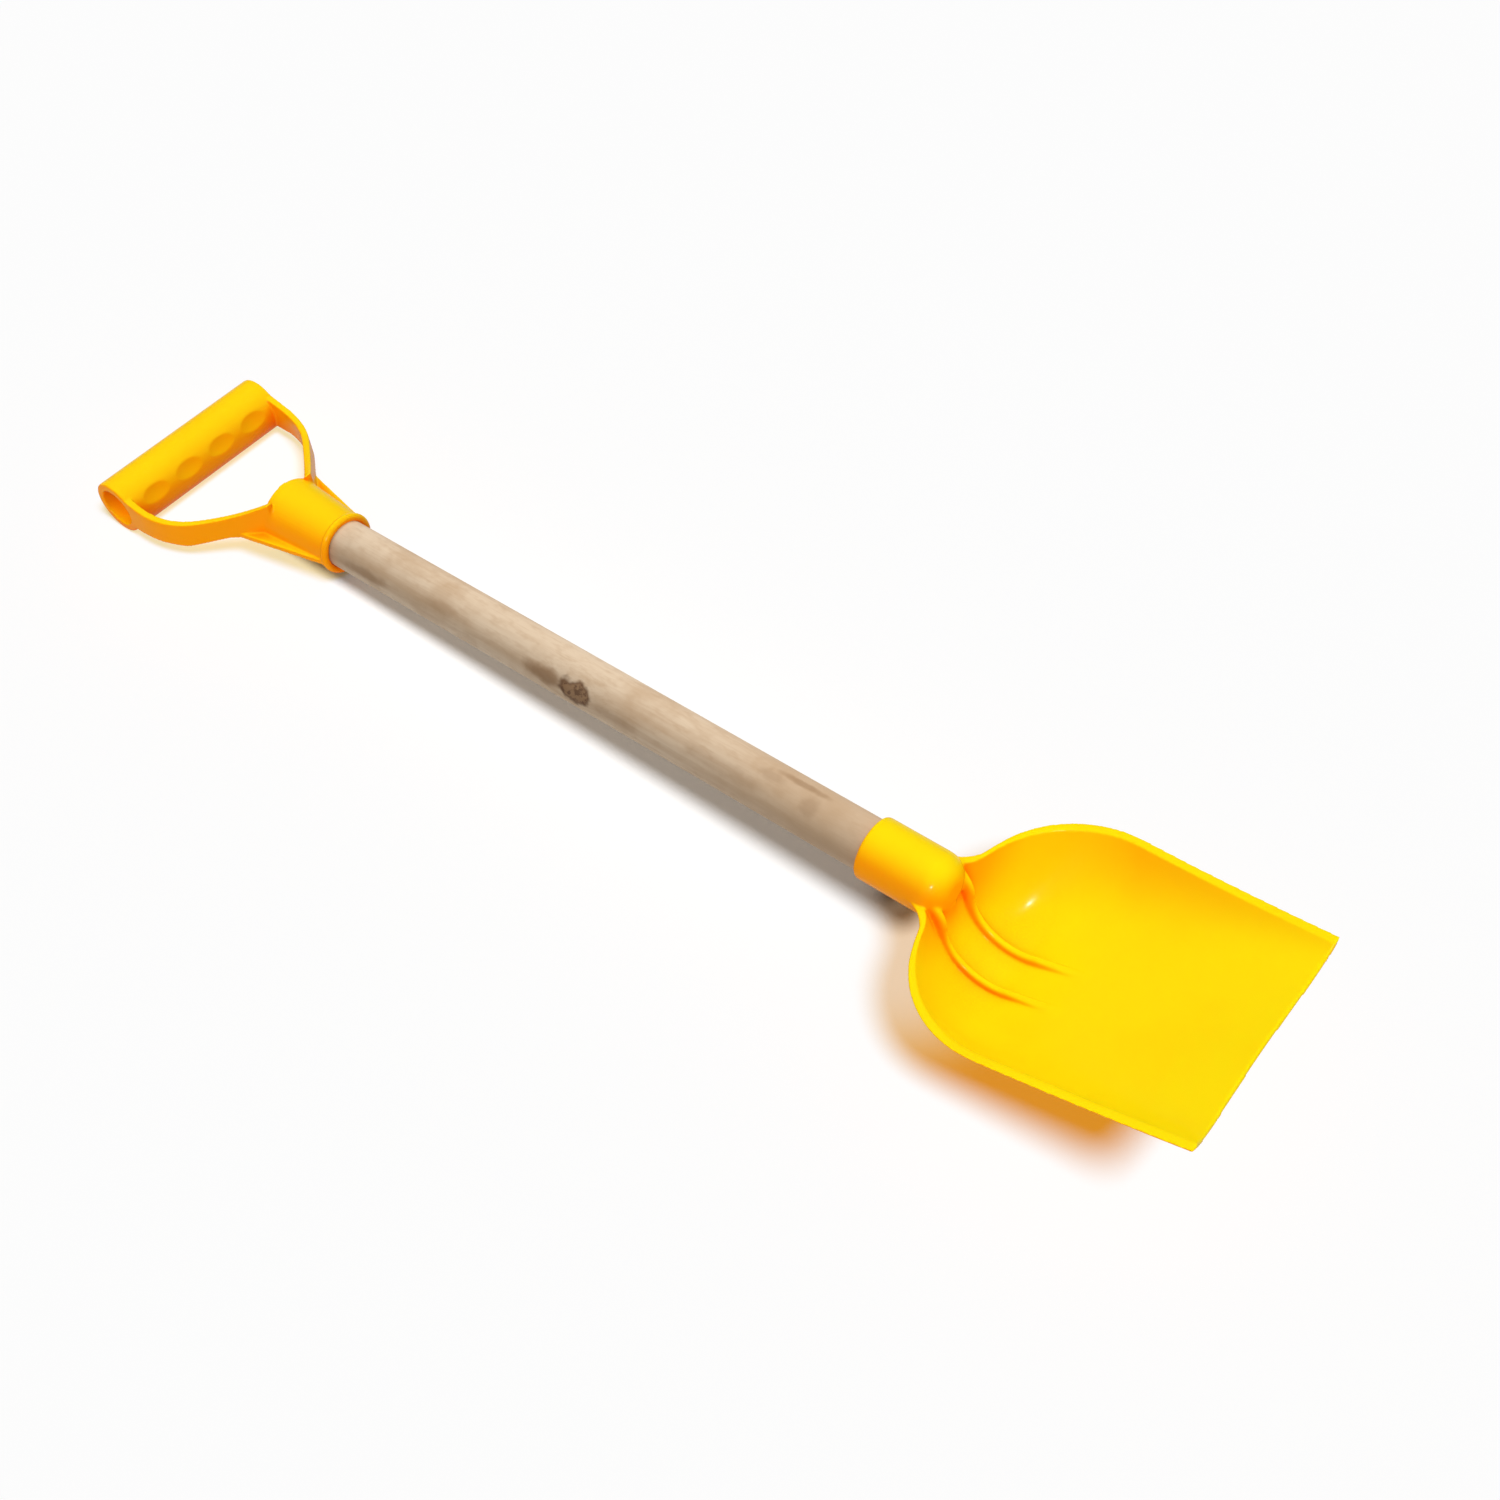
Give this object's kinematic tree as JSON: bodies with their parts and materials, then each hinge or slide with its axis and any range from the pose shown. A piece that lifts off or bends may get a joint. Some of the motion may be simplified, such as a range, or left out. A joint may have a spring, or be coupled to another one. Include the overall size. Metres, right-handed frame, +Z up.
{
  "type": "sand shovel",
  "caption": "Child's sand shovel: dished scoop with a heel and stiffening ribs, D-shaped hand grip, and a round wooden shaft held in a socket at each end.",
  "frame": {"origin": "middle of the bounding box at the ground on which grip and heel rest", "axes": "+X along the shovel from the grip to the scoop's front edge, +Y across it, +Z up from the ground, scoop open upwards"},
  "size_m": [0.6182, 0.1264, 0.0638],
  "materials": {
    "handle_plastic": "moulded yellow plastic, soft gloss",
    "shaft_wood": "sanded pale wood with a knot",
    "blade_plastic": "moulded yellow plastic, soft gloss",
    "screw_steel": "zinc-plated steel"
  },
  "bodies": {
    "root": {"d_handle": "handle_plastic", "shaft": "shaft_wood", "blade": "blade_plastic", "screws": "screw_steel"}
  },
  "joints": []
}
